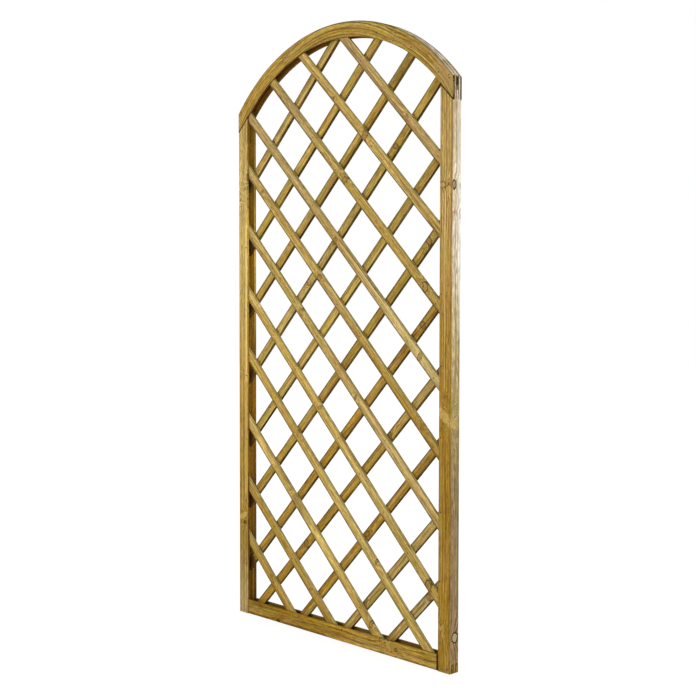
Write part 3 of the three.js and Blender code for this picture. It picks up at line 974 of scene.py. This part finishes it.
# Painted shade: how far a rear lath's lower end is painted dark red-brown for the shadow on it
end_shade_reach = 58
end_shade_tone = (74, 34, 4)
knot_brown = (130, 92, 38)
line_strength = 0.65
lath_depth = 10.5
knot_depth = 5
lath_chance = random.Random(5)
for name in lath_names:
    layer, number = name.split("_lath_")
    number = int(number)
    centre, direction, length, width = lath_runs[name]
    turn = -math.atan2(direction.z, direction.x)
    lath_size = (length * 1000, lath_depth, width * 1000)
    knots = [
        dict(
            at=(start, across), depth=knot_depth, radius=radius, spread=1.3,
            lean=lath_chance.uniform(-0.5, 0.5), rim=rim, body=0.4, bulge=1.8, colour=knot_brown,
        )
        for start, across, radius, rim in lath_knots[layer].get(number, ())
    ]
    streaks = [
        (start, end, across, half, colour, line_strength, *slope)
        for start, end, across, half, colour, *slope in lath_streaks[layer].get(number, ())
    ]
    left_end = centre - direction * length / 2
    # A rear lath whose lower end runs into the left stile gets painted shade there
    if layer == "rear" and left_end.x < -inner_half:
        streaks.append((0, end_shade_reach, 0, width * 1000, end_shade_tone, 0.85))
    board = dict(
        layers[layer],
        seed=lath_chance.uniform(0, 500),
        heart=(lath_chance.uniform(20, 50), lath_chance.uniform(-45, 45)),
        ripple=4.0,
        ring_width=lath_chance.uniform(5.2, 8.4),
        face=lath_tones[layer][number],
        knots=knots,
        streaks=streaks,
        arris_reach=1.8,
        lines=0.6,
        sawn=0.8,
    )
    softwood(name, board, lath_size, turn, lambda tree: straight_grain(tree, centre, turn))

# The nails
# Dull wire nails: two through each comb joint, one brad through the cheek into each end of
# every lath, and one pin where two laths cross, all driven in until the head is flush.
nail_steel, tree, steel = new_material("nail_steel_dull")
rust = noise(tree, coordinates(tree), (900, 900, 900), 4.0, 4)
rusty = blend(tree, ramp(tree, rust, 0.4, 0.65), srgb(34, 30, 24), srgb(40, 24, 12))
plug(tree, rusty, steel.inputs["Base Color"])
plug(tree, ramp(tree, rust, 0.4, 0.7, 0.8, 0.1), steel.inputs["Metallic"])
plug(tree, ramp(tree, rust, 0.3, 0.7, 0.4, 0.85), steel.inputs["Roughness"])
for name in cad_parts:
    if name.startswith("nail_"):
        finish(name, nail_steel)

rail_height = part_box("foot_rail")[1].z
cheek_face = -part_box("stile_left")[1].y
brad_reach = 0.008
arch_brad_reach = 0.016
brad_step = 0.0005


def in_opening(point, reach, arch_reach):
    """Whether a point lies in the frame's opening, widened by a reach and more at the arch."""
    if abs(point.x) > inner_half + reach or point.z < rail_height - reach:
        return False
    return point.z < arc_centre_z or math.hypot(point.x, point.z - arc_centre_z) < inner_radius + arch_reach


def brad_place(centre, direction):
    """Where a lath's centre line has run a little way under the cheek of the frame."""
    point = centre.copy()
    while in_opening(point, brad_reach, arch_brad_reach):
        point += direction * brad_step
    return point


def crossing(first, second):
    """Where the centre lines of two laths cross, seen from the front."""
    (a, u), (b, v) = first[:2], second[:2]
    turn = u.x * v.z - u.z * v.x
    reach = ((b.x - a.x) * v.z - (b.z - a.z) * v.x) / turn
    return a + u * reach


nail_chance = random.Random(11)
runs = {}
brads = {}
for layer in layers:
    runs[layer] = [lath_runs[name] for name in lath_names if name.startswith(layer)]
    brads[layer] = [brad_place(run[0], run[1] * way) for run in runs[layer] for way in (-1, 1)]
lath_face = min(vertex.co.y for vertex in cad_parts["front_lath_05"].data.vertices)
pin_margin = 0.012
pin_stray = 0.004
pins = []
for front_run in runs["front"]:
    for rear_run in runs["rear"]:
        point = crossing(front_run, rear_run)
        if in_opening(point, -pin_margin, -pin_margin):
            point.x += nail_chance.uniform(-pin_stray, pin_stray)
            point.z += nail_chance.uniform(-pin_stray, pin_stray)
            pins.append(point)

heads_tree = bpy.data.node_groups.new("Nail heads", "GeometryNodeTree")
add_end(heads_tree, "Places", "INPUT", "Geometry")
head_inputs = {}
for label in ("Head Radius", "Head Height", "Turn"):
    head_inputs[label] = add_end(heads_tree, label, "INPUT", "Float").identifier
add_end(heads_tree, "Heads", "OUTPUT", "Geometry")
tree = heads_tree
start = tree.nodes.new("NodeGroupInput")
cone = tree.nodes.new("GeometryNodeMeshCone")
cone.inputs["Vertices"].default_value = 8
head_taper = 0.7
top_radius = product(tree, start.outputs["Head Radius"], head_taper)
sizes = tree.nodes.new("FunctionNodeRandomValue")
sizes.data_type = "FLOAT"
smallest, greatest = sizes.inputs[2:4]
smallest.default_value = 0.85
greatest.default_value = 1.15
sizes.inputs["Seed"].default_value = 3
scatter = tree.nodes.new("GeometryNodeInstanceOnPoints")
realize = tree.nodes.new("GeometryNodeRealizeInstances")
dress = tree.nodes.new("GeometryNodeSetMaterial")
dress.inputs["Material"].default_value = nail_steel
for source, socket in (
    (start.outputs["Head Radius"], cone.inputs["Radius Bottom"]),
    (top_radius, cone.inputs["Radius Top"]),
    (start.outputs["Head Height"], cone.inputs["Depth"]),
    (start.outputs["Places"], scatter.inputs["Points"]),
    (cone.outputs["Mesh"], scatter.inputs["Instance"]),
    (join(tree, start.outputs["Turn"]), scatter.inputs["Rotation"]),
    (sizes.outputs[1], scatter.inputs["Scale"]),
    (scatter.outputs["Instances"], realize.inputs["Geometry"]),
    (realize.outputs["Geometry"], dress.inputs["Geometry"]),
    (dress.outputs["Geometry"], tree.nodes.new("NodeGroupOutput").inputs["Heads"]),
):
    plug(tree, source, socket)


def in_scene(name, data):
    """A new object in the scene."""
    thing = bpy.data.objects.new(name, data)
    bpy.context.scene.collection.objects.link(thing)
    return thing


def nail_heads(name, places, face_y, radius, facing_back=False):
    """The heads of one kind of nail, standing a hair proud of the wood at each place."""
    height = 0.0007
    sunk = 0.0004
    away = 1 if facing_back else -1
    points = [(point.x, face_y - away * sunk, point.z) for point in places]
    mesh = bpy.data.meshes.new(name + "_places")
    mesh.from_pydata(points, [], [])
    holder = in_scene(name + "_places", mesh)
    modifier = holder.modifiers.new("heads", "NODES")
    modifier.node_group = heads_tree
    modifier[head_inputs["Head Radius"]] = radius
    modifier[head_inputs["Head Height"]] = height
    modifier[head_inputs["Turn"]] = math.radians(-90 if facing_back else 90)
    evaluated = holder.evaluated_get(bpy.context.evaluated_depsgraph_get())
    plain = bpy.data.meshes.new_from_object(evaluated)
    bpy.data.objects.remove(holder)
    piece = in_scene(name, plain)
    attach(piece, "root")


head_radius = 0.002
nail_heads("front_brads", brads["front"], -cheek_face, head_radius)
nail_heads("rear_brads", brads["rear"], cheek_face, head_radius, facing_back=True)
nail_heads("crossing_pins", pins, lath_face, head_radius)

# The floor, the light and the camera
# A plain white floor that glows to pure white away from the panel and keeps a faint shadow
# near it. The key lamp stands low at the front left, a small one at the right in the panel's
# own plane, and two wide weak ones light it from the front and from behind.


def looked_at(tree):
    """1 where the camera sees a thing, straight or as a reflection, and 0 where it only lights."""
    rays = tree.nodes.new("ShaderNodeLightPath")
    return largest(tree, rays.outputs["Is Camera Ray"], rays.outputs["Is Glossy Ray"])


floor_half = 12
floor_mesh = bpy.data.meshes.new("floor")
floor_corners = [(x * floor_half, y * floor_half, 0) for x, y in ((-1, -1), (1, -1), (1, 1), (-1, 1))]
floor_mesh.from_pydata(floor_corners, [], [(0, 1, 2, 3)])
floor = in_scene("floor", floor_mesh)
floor_paint, tree, paint = new_material("floor_white")
paint.inputs["Base Color"].default_value = (0.9, 0.9, 0.9, 1)
paint.inputs["Roughness"].default_value = 0.9
glow = tree.nodes.new("ShaderNodeEmission")
glow.inputs["Color"].default_value = (1, 1, 1, 1)
glow.inputs["Strength"].default_value = 1.08
px, py, pz = split(tree, coordinates(tree))
away = distance(tree, px, py)
shadow_reach = 0.5
glow_reach = 1.6
share = product(tree, looked_at(tree), ramp(tree, away, shadow_reach, glow_reach, 0.8, 1.0))
mixer = tree.nodes.new("ShaderNodeMixShader")
plug(tree, share, mixer.inputs[0])
plug(tree, paint.outputs[0], mixer.inputs[1])
plug(tree, glow.outputs[0], mixer.inputs[2])
plug(tree, mixer.outputs[0], tree.nodes["Material Output"].inputs["Surface"])
floor_mesh.materials.append(floor_paint)

world = bpy.data.worlds.new("studio")
bpy.context.scene.world = world
world.use_nodes = True
tree = world.node_tree
sky = tree.nodes["Background"]
sky.inputs["Color"].default_value = (1, 1, 1, 1)
sky_light = 0.58
plug(tree, ramp(tree, looked_at(tree), 0, 1, sky_light, 1.0, False), sky.inputs["Strength"])

panel_middle = Vector((0, 0, 0.9))


def lamp(name, size, watts, place):
    """A round lamp of a size in metres that shines at the middle of the panel."""
    light = bpy.data.lights.new(name, "AREA")
    light.shape = "DISK"
    light.size = size
    light.energy = watts
    holder = in_scene(name, light)
    holder.location = place
    aim = panel_middle - Vector(place)
    holder.rotation_euler = aim.to_track_quat("-Z", "Y").to_euler()


lamp("key", 0.6, 152, (-3.6, -4.2, 1.9))
lamp("side", 0.25, 62, (4.6, 0.0, 2.4))
lamp("front_fill", 3.0, 15, (2.2, -3.2, 1.0))
lamp("rear_fill", 3.0, 60, (-2.0, 3.5, 2.5))

camera_data = bpy.data.cameras.new("camera")
camera_data.sensor_width = 36
camera_data.lens = 61.305
camera = in_scene("camera", camera_data)
heading = Matrix.Rotation(math.radians(46.3226), 4, "Z")
tilt = Matrix.Rotation(math.radians(90 - 2.2816), 4, "X")
roll = Matrix.Rotation(math.radians(0.0944), 4, "Z")
stand = Matrix.Translation((2.5266, -2.3790, 0.9988))
camera.matrix_world = stand @ heading @ tilt @ roll
bpy.context.scene.camera = camera
bpy.context.scene.view_settings.view_transform = "Standard"
